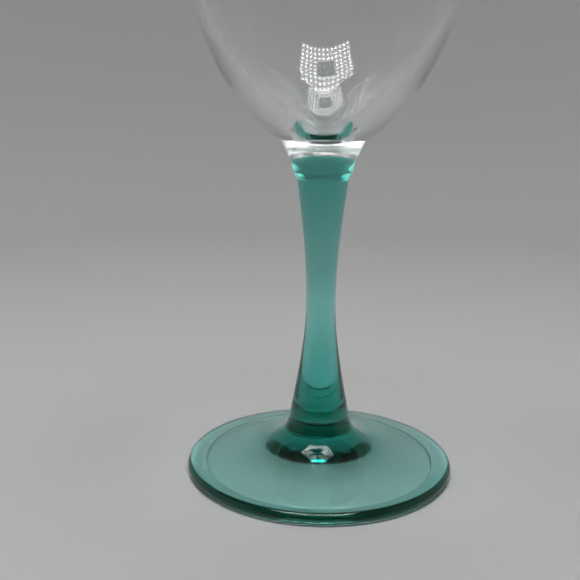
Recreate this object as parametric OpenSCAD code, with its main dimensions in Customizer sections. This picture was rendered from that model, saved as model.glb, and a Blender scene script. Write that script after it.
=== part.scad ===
// Stemmed wine glass: clear blown bowl, clear collar, sea-green stem and foot.
// Every piece is a body of revolution about Z. The origin is the centre of the
// ring that the foot stands on, and +Z runs up the stem and out of the bowl.
// The four pieces are fused face to face, with nothing between them.

/* [Foot] */
// Diameter of the foot
foot_d = 72; // [66:0.5:78]
// Thickness of the foot's rounded rim
foot_rim_t = 3; // [2.6:0.1:3.8]
// Inner diameter of the ring that touches the table
contact_d = 61.4; // [54:0.2:62]
// Height of the hollow under the middle of the foot
hollow_h = 3.4; // [1:0.1:3.6]
// Height of the small step from the ring into the hollow
step_h = 0.2; // [0.1:0.05:0.6]
// Height of the joint between foot and stem
neck_z = 15.6; // [14:0.1:18]
// Diameter of the joint between foot and stem
neck_d = 15.8; // [14.4:0.1:17]
// How far the neck's flare reaches out over the foot
flare_w = 12.3; // [10:0.1:14]
// Height of the foot's top face at the bottom of the flare
flare_z = 6; // [5.5:0.1:6.5]
// How far the foot's top face sags between its rim and the flare
top_sag = 0.3; // [0:0.05:0.4]

/* [Stem] */
// Diameter of the stem's waist
waist_d = 7.8; // [7:0.1:9]
// Height of the waist
waist_z = 46; // [40:0.5:52]
// Diameter of the stem just under its lip
stem_top_d = 13.3; // [12:0.1:14]
// Height of the crease under the lip
crease_z = 77.9; // [76:0.1:79]
// Diameter of the lip that carries the collar
lip_d = 15.1; // [14.8:0.1:16]
// Height of the lip
lip_h = 2; // [1.6:0.1:3]
// Diameter of the domed plug that stands up into the collar
plug_d = 14.4; // [13:0.1:14.6]
// Height of the plug above the lip
plug_h = 5.3; // [4:0.1:5.5]

/* [Collar] */
// Diameter of the collar where the bowl sits on it
collar_d = 21.6; // [20:0.1:23]
// Height of the joint between collar and bowl
collar_z = 87.9; // [87.8:0.1:90]
// Radius of the collar's concave flank
collar_r = 32; // [16:0.5:40]

/* [Bowl] */
// Largest diameter of the bowl
bowl_d = 74; // [70:0.5:78]
// Height where the bowl is widest
bowl_widest_z = 151; // [145:0.5:155]
// Diameter at the rim
rim_d = 67; // [62:0.5:69]
// Overall height of the glass
glass_h = 190; // [180:0.5:200]
// Thickness of the wall where the bowl is widest
wall_t = 1.4; // [1.3:0.1:2]
// Thickness of the rounded rim
rim_t = 1.2; // [1:0.1:1.3]
// Thickness of clear glass between the collar and the bowl's floor
floor_t = 3; // [2.6:0.1:3.4]
// Radius of the bowl's round floor
floor_r = 13; // [12:0.5:14]
// Height over the collar at which the wall's ellipse would reach the axis
wall_foot = 5.5; // [5.2:0.1:7]
// Diameter at which the wall leaves that ellipse for the round floor
wall_join_d = 42; // [38:0.5:46]

/* [Hidden] */
$fn = 180;

foot_r = foot_d / 2;
foot_rim_r = foot_rim_t / 2;
neck_r = neck_d / 2;
flare_h = neck_z - flare_z;
contact_r = contact_d / 2;
// Width of the step from the ring into the hollow, and where the hollow starts
step_w = 0.25;
hollow_r = contact_r - step_w;
// The flare stops where it is this many degrees round from the neck
flare_end = 72;
flare_start = [neck_r + flare_w * (1 - cos(flare_end)), neck_z - flare_h * sin(flare_end)];
rim_top = [foot_r - foot_rim_r * (1 - cos(84)), foot_rim_r * (1 + sin(84))];
lip_z = crease_z + lip_h;
// The plug's shoulder rounds over this much of its height and radius
shoulder_h = plug_h / 2;
shoulder_w = plug_d * 0.4;
bowl_r = bowl_d / 2;
collar_top_r = collar_d / 2;
floor_z = collar_z + floor_t;
rim_z = glass_h - rim_t / 2;
inner_r = bowl_r - wall_t;
rim_inner_r = rim_d / 2 - rim_t;
// Depth below the widest point of the ellipse that makes the bowl's outside
outer_b = (bowl_widest_z - collar_z) / sqrt(1 - pow(collar_top_r / bowl_r, 2));
// Angle on that ellipse where the bowl leaves the collar
outer_start = asin(collar_top_r / bowl_r);
// The same for the inside of the wall, and the slope where it leaves its ellipse
inner_b = bowl_widest_z - collar_z - wall_foot;
join = acos(wall_join_d / 2 / inner_r);
join_slope = atan2(inner_b * cos(join), inner_r * sin(join));
// The round floor stops where it is this many degrees round from the axis
floor_turn = 32;

// Points of an ellipse about [cx, cy], with semi-axes a and b, from angle t0 to t1
function curve(cx, cy, a, b, t0, t1, n) =
    [for (i = [0 : n]) let (t = t0 + (t1 - t0) * i / n)
        [cx + a * cos(t), cy + b * sin(t)]];

// The same points, last one first
function reversed(points) =
    [for (i = [len(points) - 1 : -1 : 0]) points[i]];

// Half-thickness of a waisted rod: r0 at the waist and r1 at distance h from it
function waisted(r0, r1, h, z) =
    sqrt(pow(r0, 2) + (pow(r1, 2) - pow(r0, 2)) * pow(z / h, 2));

// Outline of one end of the stem, from height z0 to z1
function stem_side(z0, z1, end_z, end_r, n) =
    [for (i = [0 : n]) let (z = z0 + (z1 - z0) * i / n)
        [waisted(waist_d / 2, end_r, end_z - waist_z, z - waist_z), z]];

// Gentle arc from radius r0 at height z0, where it is upright, to r1 at z1
function lean_in(r0, z0, r1, z1, n) =
    let (s = r0 - r1, h = z1 - z0, big = (h * h + s * s) / (2 * s))
        curve(r0 - big, z0, big, big, 0, asin(h / big), n);

// Arc of the given radius from p to q that bends in towards the axis
function flank(p, q, radius, n) =
    let (d = q - p, l = norm(d), m = (p + q) / 2,
         c = m + [d[1], -d[0]] / l * sqrt(radius * radius - l * l / 4),
         a0 = atan2(p[1] - c[1], p[0] - c[0]),
         a1 = atan2(q[1] - c[1], q[0] - c[0]))
        curve(c[0], c[1], radius, radius, a0 < 0 ? a0 + 360 : a0, a1, n);

// Points of the curve that leaves a steered by b and reaches d steered by c
function blend(a, b, c, d, n) =
    [for (i = [0 : n]) let (t = i / n, u = 1 - t)
        a * pow(u, 3) + b * 3 * t * pow(u, 2) + c * 3 * pow(t, 2) * u + d * pow(t, 3)];

// Short curve from the bowl's wall, at point w, down to its floor, at point f
function wall_to_floor(w, f, n) =
    let (reach = norm(w - f) / 3)
        blend(w, w - reach * [cos(join_slope), sin(join_slope)],
              f + reach * [cos(floor_turn), sin(floor_turn)], f, n);

// Inside of the bowl, from its widest point down to the middle of its floor
function inner_wall() = concat(
    curve(0, bowl_widest_z, inner_r, inner_b, 0, -join, 22),
    wall_to_floor(
        [inner_r * cos(join), bowl_widest_z - inner_b * sin(join)],
        [floor_r * sin(floor_turn), floor_z + floor_r * (1 - cos(floor_turn))], 8),
    curve(0, floor_z + floor_r, floor_r, floor_r, floor_turn - 90, -90, 8));

// The foot's top face, from its rim at point p to the flare at point q
function sagging(p, q, n) =
    [for (i = [1 : n - 1]) let (t = i / n)
        p + (q - p) * t - [0, top_sag * 4 * t * (1 - t)]];

// The swelling from the shaft out to the lip
function lip_side(n) =
    [for (i = [1 : n]) let (t = i / n)
        [stem_top_d / 2 + (lip_d - stem_top_d) / 2 * (1 - cos(162 * t)) / (1 - cos(162)),
         crease_z + lip_h * t]];

// Outline of the plug, from its foot on the lip to the top of its dome
function plug_side(n) = concat(
    [[plug_d / 2, lip_z]],
    curve(plug_d / 2 - shoulder_w, lip_z + plug_h - shoulder_h,
          shoulder_w, shoulder_h, 0, 90, n),
    [[0, lip_z + plug_h]]);

// Blown bowl: an elliptical base, a slightly closed mouth and a rounded rim
module bowl() {
    color([0.86, 0.89, 0.9, 0.45])
        rotate_extrude()
            polygon(concat(
                [[0, collar_z]],
                curve(0, bowl_widest_z, bowl_r, outer_b, outer_start - 90, 0, 30),
                lean_in(bowl_r, bowl_widest_z, rim_d / 2, rim_z, 10),
                curve(rim_d / 2 - rim_t / 2, rim_z, rim_t / 2, rim_t / 2, 15, 165, 8),
                reversed(lean_in(inner_r, bowl_widest_z, rim_inner_r, rim_z, 10)),
                inner_wall()));
}

// Clear collar: flares from the stem's lip to the bowl and wraps the plug
module collar() {
    color([0.9, 0.93, 0.94, 0.5])
        rotate_extrude()
            polygon(concat(
                [[0, collar_z]],
                reversed(plug_side(8)),
                flank([lip_d / 2, lip_z], [collar_top_r, collar_z], collar_r, 14)));
}

// Pressed stem: waisted shaft, lip and domed plug
module stem() {
    color([0.16, 0.55, 0.47, 0.8])
        rotate_extrude()
            polygon(concat(
                [[0, neck_z]],
                stem_side(neck_z, waist_z, neck_z, neck_r, 14),
                stem_side(waist_z + 1, crease_z, crease_z, stem_top_d / 2, 14),
                lip_side(8),
                plug_side(8)));
}

// Pressed foot: rounded rim, flat top rising in a flare to the neck
module foot() {
    color([0.3, 0.62, 0.55, 0.8])
        rotate_extrude()
            polygon(concat(
                [for (i = [0 : 10])
                    [hollow_r * i / 10,
                     step_h + (hollow_h - step_h) * (1 - pow(i / 10, 2))]],
                [[contact_r, 0]],
                curve(foot_r - foot_rim_r, foot_rim_r, foot_rim_r, foot_rim_r, -90, 84, 20),
                sagging(rim_top, flare_start, 6),
                curve(neck_r + flare_w, neck_z, flare_w, flare_h,
                      180 + flare_end, 180, 16),
                [[0, neck_z]]));
}

bowl();
collar();
stem();
foot();
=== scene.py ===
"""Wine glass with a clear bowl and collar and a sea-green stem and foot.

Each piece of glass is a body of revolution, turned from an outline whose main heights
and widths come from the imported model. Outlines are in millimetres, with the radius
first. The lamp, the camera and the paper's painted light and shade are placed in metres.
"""

import math

import bpy
import numpy as np
from mathutils import Matrix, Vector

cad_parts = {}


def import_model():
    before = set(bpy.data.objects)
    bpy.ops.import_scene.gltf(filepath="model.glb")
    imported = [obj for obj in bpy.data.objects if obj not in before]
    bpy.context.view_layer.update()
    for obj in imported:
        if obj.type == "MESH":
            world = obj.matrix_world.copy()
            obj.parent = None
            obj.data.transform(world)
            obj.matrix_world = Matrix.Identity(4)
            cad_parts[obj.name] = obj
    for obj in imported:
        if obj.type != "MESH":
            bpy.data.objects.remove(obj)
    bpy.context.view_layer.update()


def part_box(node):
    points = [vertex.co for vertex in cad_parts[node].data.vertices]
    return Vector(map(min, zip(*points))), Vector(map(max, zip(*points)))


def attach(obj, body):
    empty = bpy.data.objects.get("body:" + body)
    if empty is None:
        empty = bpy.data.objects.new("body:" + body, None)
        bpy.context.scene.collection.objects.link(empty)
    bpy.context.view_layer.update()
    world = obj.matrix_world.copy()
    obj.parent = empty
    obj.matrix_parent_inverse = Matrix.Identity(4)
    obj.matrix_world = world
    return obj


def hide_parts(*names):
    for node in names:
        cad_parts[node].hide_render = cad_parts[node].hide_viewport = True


MM = 0.001
TINY = 1e-6  # in mm, for comparing heights
MERGE = 1e-4  # outline points closer than this, in mm, are one point
SHARP = 35  # degrees between two faces that show a sharp edge
TURNS = 192  # faces round each piece of glass
JOINT_GAP = 0.01  # in mm, between facing joints, so that no two faces share a place

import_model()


# ---------------------------------------------------------------- sizes, in mm
def low(node):
    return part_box(node)[0].z / MM


def high(node):
    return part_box(node)[1].z / MM


def radius(node):
    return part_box(node)[1].x / MM


# Foot
FOOT_R = radius("foot")
FOOT_RIM_R = 1.5  # half the thickness of the foot's rounded rim
RIM_END = 84  # degrees past level where that rim meets the foot's top face
CONTACT_R = 30.7  # inside of the ring that the foot stands on
HOLLOW_H = 3.4  # height of the hollow under the middle of the foot
STEP_H = 0.2  # the hollow starts with this small step
STEP_W = 0.25
TOP_SAG = 0.3  # how far the foot's top face sags between its rim and the flare
FLARE_W = 12.3  # how far the flare's ellipse reaches out from the neck
FLARE_Z = 6.0  # height of that ellipse's lowest point
FLARE_END = 72  # degrees round the flare where it meets the foot's top face
FILM = 0.1  # share of the foot's top face that its dusty film covers
FILM_R = (14, 19, 32.5, 34.4)  # the film begins, is full, starts to fade and has gone
FILM_Z = 1.9 * FOOT_RIM_R  # there is no film below this height

# Stem
NECK_Z = high("foot")
NECK_R = radius("stem")
WAIST_R = 3.9
WAIST_Z = 46.0
CREASE_Z = 77.9  # the shaft ends here and swells to the lip
CREASE_R = 6.65
LIP_R = 7.55
LIP_Z = low("collar")
LIP_WAVE = 162  # degrees of a cosine wave that the swelling follows
PLUG_R = 7.2
PLUG_Z = high("stem")
SHOULDER_W = PLUG_R * 0.8  # the plug's shoulder rounds over this much of its radius
SHOULDER_H = (PLUG_Z - LIP_Z) / 2
PLUG_JOINT = 0.8  # share of the bending that the plug's faces have lost

# Collar
COLLAR_Z = high("collar")
COLLAR_R = radius("collar")
COLLAR_FLANK = 32.0  # radius of its concave flank

# Bowl
BOWL_R = radius("bowl")
WIDEST_Z = 151.0
GLASS_H = high("bowl")
RIM_R = 33.5  # outside of the rounded rim
RIM_T = 1.2
WALL_T = 1.4
WALL_FOOT = COLLAR_Z + 5.5  # where the ellipse of the wall's inside would reach the axis
WALL_JOIN_R = 21.0  # where the wall leaves that ellipse for the floor
FLOOR_Z = COLLAR_Z + 3.0
FLOOR_BEND = 13.0  # radius of the round floor
FLOOR_TURN = 32.0  # degrees from the middle of the floor to where the wall begins

# Paper
TABLE_Z = -0.03  # just under the glass, so that they don't share a place
SWEEP_R = 540  # of the flat part of the paper
SWEEP_BEND = 380  # radius of its bend up into the wall
SWEEP_TOP = 900  # height of that wall


# -------------------------------------------- materials, light and camera, in m
GLASS_IOR = 1.5
CLEAR_ABSORB = (10, 9, 9.2)  # what the glass takes off in red, green and blue, per metre
GREEN_ABSORB = (166, 36, 46)
COLLAR_ROUGH = 0.12  # the collar's skin is a little softer than the blown bowl's
PAPER_PAINTED_TONE = (0.62, 0.96)  # painted light and shade: how pale the paper is near the glass and far from it
PAPER_REACH = (0.12, 0.75)  # distances between which it changes
FRONT_SHADE = 0.18  # painted shade: share of its tone that the paper keeps on the open side, towards -Y
FRONT_SIDE = (-0.75, -0.2)  # cosines of the angle from +Y between which that side ends
FRONT_REACH = (0.25, 0.45)  # distances between which that painted shade sets in
LAMP_SIZE = (0.38, 0.32)
LAMP_PLACE = (-0.012, -0.045, 0.62)
LAMP_HOLE = 0.12  # side of the open square in the middle of the panel
LAMP_PITCH = 0.03167  # from one small lamp of its grid to the next
LAMP_STRENGTH = 7.9
LAMP_FILL = 0.2  # share of the panel that the small lamps cover
LAMP_SHARE = 0.5  # share of the light that comes from them, and not from the pane
WORLD_LIGHT = 0.1
BOUNCES = 128  # enough for light to get through all the glass
CAMERA_PLACE = (-0.00828, -0.1935, 0.0869)
CAMERA_DOWN = 11.11  # degrees that it looks down
CAMERA_ROLL = 0.47
CAMERA_SENSOR = 36  # in mm, like the lens
CAMERA_LENS = 45.93


# -------------------------------------------------------------------- outlines
def curve(cx, cz, a, b, t0, t1, n):
    """Points of an ellipse about (cx, cz), from angle t0 to t1 in degrees."""
    t = np.radians(np.linspace(t0, t1, n + 1))
    return list(zip(cx + a * np.cos(t), cz + b * np.sin(t)))


def line(p, q, n):
    s = np.linspace(0, 1, n + 1)
    return [(p[0] + (q[0] - p[0]) * t, p[1] + (q[1] - p[1]) * t) for t in s]


def bezier(p0, p1, p2, p3, n):
    s = np.linspace(0, 1, n + 1)[:, None]
    p0, p1, p2, p3 = (np.array(p) for p in (p0, p1, p2, p3))
    pts = p0 * (1 - s) ** 3 + 3 * p1 * s * (1 - s) ** 2 + 3 * p2 * s**2 * (1 - s) + p3 * s**3
    return [tuple(p) for p in pts]


def sagging(p, q, n):
    """Points between p and q on a line that sags in the middle."""
    s = np.linspace(0, 1, n + 1)
    return [(r, z - TOP_SAG * 4 * t * (1 - t)) for t, (r, z) in zip(s, line(p, q, n))][1:-1]


def waisted(z0, z1, end_z, end_r, n):
    """One end of the shaft: half of a hyperbola."""
    z = np.linspace(z0, z1, n + 1)
    share = (z - WAIST_Z) / (end_z - WAIST_Z)
    r = np.sqrt(WAIST_R**2 + (end_r**2 - WAIST_R**2) * share**2)
    return list(zip(r, z))


def lip_side(n):
    """The swelling from the shaft out to the lip."""
    t = np.linspace(0, 1, n + 1)[1:]
    swell = (1 - np.cos(np.radians(LIP_WAVE * t))) / (1 - math.cos(math.radians(LIP_WAVE)))
    return list(zip(CREASE_R + (LIP_R - CREASE_R) * swell, CREASE_Z + (LIP_Z - CREASE_Z) * t))


def plug_side(grow=0.0):
    """Outline of the stem's plug, from the lip to the top of its dome."""
    r, top = PLUG_R + grow, PLUG_Z + grow
    side = line((r, LIP_Z), (r, top - SHOULDER_H), 6)
    side += curve(r - SHOULDER_W, top - SHOULDER_H, SHOULDER_W, SHOULDER_H, 0, 90, 24)[1:]
    return side + line((r - SHOULDER_W, top), (0, top), 8)[1:]


def flank(p, q, big, n):
    """Arc from p to q that bends in towards the axis."""
    p, q = np.array(p), np.array(q)
    d = q - p
    length = np.linalg.norm(d)
    c = (p + q) / 2 + np.array([d[1], -d[0]]) / length * math.sqrt(big**2 - length**2 / 4)
    a0 = math.degrees(math.atan2(*(p - c)[::-1])) % 360
    a1 = math.degrees(math.atan2(*(q - c)[::-1])) % 360
    return curve(c[0], c[1], big, big, a0, a1, n)


def lean_in(r0, z0, r1, z1, n):
    """Arc from radius r0, where it is upright, to r1 further up."""
    s, h = r0 - r1, z1 - z0
    big = (h * h + s * s) / (2 * s)
    return curve(r0 - big, z0, big, big, 0, math.degrees(math.asin(h / big)), n)


def inner_wall(inner_r, n):
    """The bowl's inside from its widest point down: part of an ellipse, a smooth blend,
    then a round floor."""
    b = WIDEST_Z - WALL_FOOT
    join = math.acos(WALL_JOIN_R / inner_r)
    wall = curve(0, WIDEST_Z, inner_r, b, 0, -math.degrees(join), n)
    tilt = math.atan2(b * math.cos(join), inner_r * math.sin(join))
    turn = math.radians(FLOOR_TURN)
    r, z = FLOOR_BEND * math.sin(turn), FLOOR_Z + FLOOR_BEND * (1 - math.cos(turn))
    reach = math.dist(wall[-1], (r, z)) / 3
    high_end = (wall[-1][0] - reach * math.cos(tilt), wall[-1][1] - reach * math.sin(tilt))
    low_end = (r + reach * math.cos(turn), z + reach * math.sin(turn))
    blend = bezier(wall[-1], high_end, low_end, (r, z), 30)[1:]
    centre = FLOOR_Z + FLOOR_BEND
    return wall + blend + curve(0, centre, FLOOR_BEND, FLOOR_BEND, FLOOR_TURN - 90, -90, 40)[1:]


# ---------------------------------------------------------------------- meshes
def put(name, data):
    """A new object in the scene."""
    made = bpy.data.objects.new(name, data)
    bpy.context.scene.collection.objects.link(made)
    return made


def lathe(name, outline, turns=TURNS, **marks):
    """Turns an outline about Z. It starts on the axis and runs anticlockwise. Each mark
    is a face attribute, given as a function of the radius and height of a face's middle."""
    outline = [(max(r, 0.0), z) for r, z in outline]
    points = outline[:1]
    for point in outline[1:]:
        if math.dist(point, points[-1]) > MERGE:
            points.append(point)
    angles = np.linspace(0, 2 * np.pi, turns, endpoint=False)
    verts, rows = [], []
    for r, z in points:
        around = angles if r > TINY else [0.0]
        rows.append(range(len(verts), len(verts) + len(around)))
        verts += [(r * MM * math.cos(a), r * MM * math.sin(a), z * MM) for a in around]
    faces = []
    for a, b in zip(rows, rows[1:]):
        for i in range(turns):
            j = (i + 1) % turns
            corners = (a[i % len(a)], a[j % len(a)], b[j % len(b)], b[i % len(b)])
            faces.append(tuple(dict.fromkeys(corners)))  # a triangle where a row is one point
    mesh = bpy.data.meshes.new(name)
    mesh.from_pydata(verts, [], faces)
    mesh.polygons.foreach_set("use_smooth", [True] * len(faces))
    middles = [((p[0] + q[0]) / 2, (p[1] + q[1]) / 2) for p, q in zip(points, points[1:])]
    for label, value in marks.items():
        values = [float(value(*middle)) for middle in middles for _ in range(turns)]
        mesh.attributes.new(label, "FLOAT", "FACE").data.foreach_set("value", values)
    mesh.set_sharp_from_angle(angle=math.radians(SHARP))
    mesh.update()
    return put(name, mesh)


def foot_glass():
    edge = CONTACT_R - STEP_W
    steps = np.linspace(0, 1, 33)
    under = [(edge * t, STEP_H + (HOLLOW_H - STEP_H) * (1 - t * t)) for t in steps]
    under.append((CONTACT_R, 0))
    rim = curve(FOOT_R - FOOT_RIM_R, FOOT_RIM_R, FOOT_RIM_R, FOOT_RIM_R, -90, RIM_END, 40)
    flare = curve(NECK_R + FLARE_W, NECK_Z, FLARE_W, NECK_Z - FLARE_Z, 180 + FLARE_END, 180, 60)
    top = sagging(rim[-1], flare[0], 24)
    cap = line((NECK_R, NECK_Z), (0, NECK_Z), 10)

    def joint(r, z):
        return z > NECK_Z - TINY

    def film(r, z):
        """The top face has a faint dusty film, which fades out up the flare and at the rim."""
        share = np.interp(r, FILM_R, (0, 1, 1, 0))
        return FILM * share * share * (3 - 2 * share) if z > FILM_Z else 0.0

    return lathe("foot_glass", under + rim + top + flare + cap, joint=joint, film=film)


def stem_glass():
    base = NECK_Z + JOINT_GAP
    cap = line((0, base), (NECK_R, base), 10)
    shaft = waisted(base, WAIST_Z, NECK_Z, NECK_R, 50)
    shaft += waisted(WAIST_Z, CREASE_Z, CREASE_Z, CREASE_R, 50)[1:]
    seat = line((LIP_R, LIP_Z), (PLUG_R, LIP_Z), 2)[1:]

    def joint(r, z):
        if z < base + TINY:
            return 1.0
        return PLUG_JOINT if z > LIP_Z - TINY else 0.0

    return lathe("stem_glass", cap + shaft + lip_side(20) + seat + plug_side(), joint=joint)


def collar_glass():
    base = LIP_Z + JOINT_GAP
    socket = [(r, z) for r, z in reversed(plug_side(JOINT_GAP)) if z > base]
    seat = [(PLUG_R + JOINT_GAP, base), (LIP_R, base)]
    side = flank((LIP_R, LIP_Z), (COLLAR_R, COLLAR_Z), COLLAR_FLANK, 40)[1:]
    top = line((COLLAR_R, COLLAR_Z), (0, COLLAR_Z), 12)[1:]

    def joint(r, z):
        ends = z > COLLAR_Z - TINY or z < base + TINY
        return ends or (r < PLUG_R + 5 * JOINT_GAP and z < PLUG_Z + 5 * JOINT_GAP)

    return lathe("collar_glass", socket + seat + side + top, joint=joint)


def bowl_glass():
    base = COLLAR_Z + JOINT_GAP
    outer_b = (WIDEST_Z - COLLAR_Z) / math.sqrt(1 - (COLLAR_R / BOWL_R) ** 2)
    start = math.degrees(math.asin(COLLAR_R / BOWL_R))
    rim_z = GLASS_H - RIM_T / 2
    inner_r = BOWL_R - WALL_T
    outline = line((0, base), (COLLAR_R, base), 12)
    outline += curve(0, WIDEST_Z, BOWL_R, outer_b, start - 90, 0, 110)[1:]
    outline += lean_in(BOWL_R, WIDEST_Z, RIM_R, rim_z, 30)[1:]
    outline += curve(RIM_R - RIM_T / 2, rim_z, RIM_T / 2, RIM_T / 2, 0, 180, 20)[1:]
    outline += lean_in(inner_r, WIDEST_Z, RIM_R - RIM_T, rim_z, 30)[-2::-1]
    outline += inner_wall(inner_r, 120)[1:]

    def joint(r, z):
        return z < base + TINY

    return lathe("bowl_glass", outline, joint=joint)


# ------------------------------------------------------------------- materials
def new_material(name):
    """A new material and its node tree."""
    mat = bpy.data.materials.new(name)
    mat.use_nodes = True
    return mat, mat.node_tree


def add(nt, kind, operation=None, *inputs):
    """A node with its inputs set in order: a number or vector, or a socket to link."""
    made = nt.nodes.new(kind)
    if operation:
        made.operation = operation
    for place, value in enumerate(inputs):
        if isinstance(value, bpy.types.NodeSocket):
            nt.links.new(value, made.inputs[place])
        else:
            made.inputs[place].default_value = value
    return made


def ramp(nt, value, at, to, smooth=True):
    """value, taken from to[0] where it is at[0] to to[1] where it is at[1]."""
    made = nt.nodes.new("ShaderNodeMapRange")
    made.interpolation_type = "SMOOTHSTEP" if smooth else "LINEAR"
    nt.links.new(value, made.inputs["Value"])
    for name, limit in zip(("From Min", "From Max", "To Min", "To Max"), (*at, *to)):
        made.inputs[name].default_value = limit
    return made.outputs["Result"]


def mark(nt, name):
    """The value of a face attribute."""
    made = nt.nodes.new("ShaderNodeAttribute")
    made.attribute_name = name
    return made.outputs["Fac"]


def glass(name, absorb, rough=0.0, dusty=False):
    """Glass that bends light less at faces marked as joints, where glass meets glass.
    absorb is what it takes off in red, green and blue, per metre. Dusty glass lets less
    light through where its film is marked."""
    mat, nt = new_material(name)
    shader = nt.nodes["Principled BSDF"]
    shader.inputs["Base Color"].default_value = (1, 1, 1, 1)
    shader.inputs["Roughness"].default_value = rough
    shader.inputs["Transmission Weight"].default_value = 1.0
    if dusty:
        through = add(nt, "ShaderNodeMath", "SUBTRACT", 1.0, mark(nt, "film"))
        nt.links.new(through.outputs[0], shader.inputs["Transmission Weight"])
    bend = ramp(nt, mark(nt, "joint"), (0, 1), (GLASS_IOR, 1), smooth=False)
    nt.links.new(bend, shader.inputs["IOR"])
    most = max(absorb)
    volume = nt.nodes.new("ShaderNodeVolumeAbsorption")
    volume.inputs["Color"].default_value = (*[1 - a / most for a in absorb], 1)
    volume.inputs["Density"].default_value = most
    nt.links.new(volume.outputs["Volume"], nt.nodes["Material Output"].inputs["Volume"])
    return mat


def paper():
    """Matt paper with painted light and shade: greyer near the glass than far from it, and
    dark with painted shade on the open side, except near the glass."""
    mat, nt = new_material("paper")
    shader = nt.nodes["Principled BSDF"]
    shader.inputs["Roughness"].default_value = 0.9
    shader.inputs["Specular IOR Level"].default_value = 0.2
    place = nt.nodes.new("ShaderNodeTexCoord").outputs["Object"]
    axes = add(nt, "ShaderNodeSeparateXYZ", None, place)
    flat = add(nt, "ShaderNodeVectorMath", "MULTIPLY", place, (1, 1, 0))
    reach = add(nt, "ShaderNodeVectorMath", "LENGTH", flat.outputs[0]).outputs["Value"]
    turned = add(nt, "ShaderNodeMath", "DIVIDE", axes.outputs["Y"], reach).outputs[0]
    # painted light and shade: the paper's tone changes with its distance from the glass, not
    # its colour
    tone = ramp(nt, reach, PAPER_REACH, PAPER_PAINTED_TONE)
    # painted shade: the paper is dark on the open side, towards -Y, except near the glass
    side = ramp(nt, turned, FRONT_SIDE, (FRONT_SHADE, 1))
    near = ramp(nt, reach, FRONT_REACH, (1, 0))
    unshaded_share = add(nt, "ShaderNodeMath", "MAXIMUM", side, near).outputs[0]
    pale = add(nt, "ShaderNodeMath", "MULTIPLY", tone, unshaded_share).outputs[0]
    colour = add(nt, "ShaderNodeCombineColor", None, pale, pale, pale)
    nt.links.new(colour.outputs[0], shader.inputs["Base Color"])
    return mat


def led_light():
    """Grid of small round lamps behind a pane, round an open square. Matt surfaces get
    the even average."""
    mat, nt = new_material("led_light")
    nt.nodes.clear()
    place = nt.nodes.new("ShaderNodeTexCoord").outputs["Object"]
    across = add(nt, "ShaderNodeVectorMath", "ABSOLUTE", place)
    axes = add(nt, "ShaderNodeSeparateXYZ", None, across.outputs[0])
    out = add(nt, "ShaderNodeMath", "MAXIMUM", axes.outputs["X"], axes.outputs["Y"])
    lit = add(nt, "ShaderNodeMath", "GREATER_THAN", out.outputs[0], LAMP_HOLE / 2)
    half = (LAMP_SIZE[0] / 2, LAMP_SIZE[1] / 2, 0)
    corner = add(nt, "ShaderNodeVectorMath", "ADD", place, half)
    cells = (1 / LAMP_PITCH, 1 / LAMP_PITCH, 0)
    cell = add(nt, "ShaderNodeVectorMath", "MULTIPLY", corner.outputs[0], cells)
    part = add(nt, "ShaderNodeVectorMath", "FRACTION", cell.outputs[0])
    off = add(nt, "ShaderNodeVectorMath", "SUBTRACT", part.outputs[0], (0.5, 0.5, 0))
    away = add(nt, "ShaderNodeVectorMath", "LENGTH", off.outputs[0]).outputs["Value"]
    dot = add(nt, "ShaderNodeMath", "LESS_THAN", away, math.sqrt(LAMP_FILL / math.pi))
    bright = LAMP_STRENGTH * LAMP_SHARE / LAMP_FILL
    dots = add(nt, "ShaderNodeMath", "MULTIPLY", dot.outputs[0], bright)
    pane = add(nt, "ShaderNodeMath", "ADD", dots.outputs[0], LAMP_STRENGTH * (1 - LAMP_SHARE))
    path = nt.nodes.new("ShaderNodeLightPath")
    matt = add(nt, "ShaderNodeMath", "GREATER_THAN", path.outputs["Diffuse Depth"], 0.5)
    even = add(nt, "ShaderNodeMath", "MAXIMUM", matt.outputs[0], path.outputs["Is Shadow Ray"])
    mix = nt.nodes.new("ShaderNodeMix")
    nt.links.new(even.outputs[0], mix.inputs["Factor"])
    nt.links.new(pane.outputs[0], mix.inputs["A"])
    mix.inputs["B"].default_value = LAMP_STRENGTH
    power = add(nt, "ShaderNodeMath", "MULTIPLY", mix.outputs["Result"], lit.outputs[0])
    glow = nt.nodes.new("ShaderNodeEmission")
    nt.links.new(power.outputs[0], glow.inputs["Strength"])
    output = nt.nodes.new("ShaderNodeOutputMaterial")
    nt.links.new(glow.outputs[0], output.inputs["Surface"])
    return mat


# ----------------------------------------------------------------------- stage
def sweep():
    """Paper floor that curves up into a wall all round."""
    outline = line((0, TABLE_Z), (SWEEP_R, TABLE_Z), 30)
    outline += curve(SWEEP_R, SWEEP_BEND, SWEEP_BEND, SWEEP_BEND, -90, 0, 40)[1:]
    far = SWEEP_R + SWEEP_BEND
    outline += line((far, SWEEP_BEND), (far, SWEEP_TOP), 10)[1:]
    obj = lathe("sweep", outline, turns=96)
    obj.data.materials.append(paper())


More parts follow.
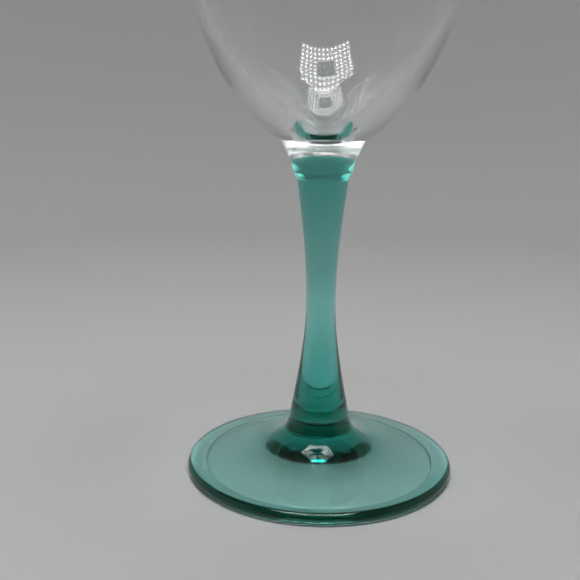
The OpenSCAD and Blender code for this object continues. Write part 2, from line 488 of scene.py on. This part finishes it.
def led_panel():
    """Lamp overhead, which lights the scene."""
    x, y = LAMP_SIZE[0] / 2, LAMP_SIZE[1] / 2
    mesh = bpy.data.meshes.new("led_panel")
    mesh.from_pydata([(-x, -y, 0), (x, -y, 0), (x, y, 0), (-x, y, 0)], [], [(0, 3, 2, 1)])
    mesh.materials.append(led_light())
    obj = put("led_panel", mesh)
    obj.location = LAMP_PLACE


def world():
    made = bpy.data.worlds.new("studio")
    made.use_nodes = True
    sky = made.node_tree.nodes["Background"]
    sky.inputs["Color"].default_value = (1, 1, 1, 1)
    sky.inputs["Strength"].default_value = WORLD_LIGHT
    bpy.context.scene.world = made


def camera():
    data = bpy.data.cameras.new("camera")
    data.sensor_width = CAMERA_SENSOR
    data.lens = CAMERA_LENS
    data.clip_start = 0.01
    cam = put("camera", data)
    tilt = Matrix.Rotation(math.radians(90 - CAMERA_DOWN), 4, "X")
    roll = Matrix.Rotation(math.radians(CAMERA_ROLL), 4, "Z")
    cam.matrix_world = Matrix.Translation(CAMERA_PLACE) @ tilt @ roll
    bpy.context.scene.camera = cam


def looks():
    """Plain colours, little noise, and glints that are neither clamped nor blurred."""
    scene = bpy.context.scene
    scene.view_settings.view_transform = "Standard"
    cycles = scene.cycles
    cycles.use_denoising = True
    cycles.max_bounces = BOUNCES
    cycles.transmission_bounces = BOUNCES
    cycles.glossy_bounces = BOUNCES
    cycles.transparent_max_bounces = 16
    cycles.sample_clamp_indirect = 0
    cycles.blur_glossy = 0.0


clear = glass("clear_glass", CLEAR_ABSORB)
soft = glass("collar_glass", CLEAR_ABSORB, rough=COLLAR_ROUGH)
green = glass("green_glass", GREEN_ABSORB)
dusty = glass("dusty_green_glass", GREEN_ABSORB, dusty=True)
PIECES = [
    (bowl_glass, "bowl", clear, "clear_glass"),
    (collar_glass, "collar", soft, "clear_glass"),
    (stem_glass, "stem", green, "green_glass"),
    (foot_glass, "foot", dusty, "green_glass"),
]
for build, part, material, slot in PIECES:
    piece = build()
    piece.data.materials.append(material)
    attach(piece, "root")
    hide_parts(part)

sweep()
led_panel()
world()
camera()
looks()
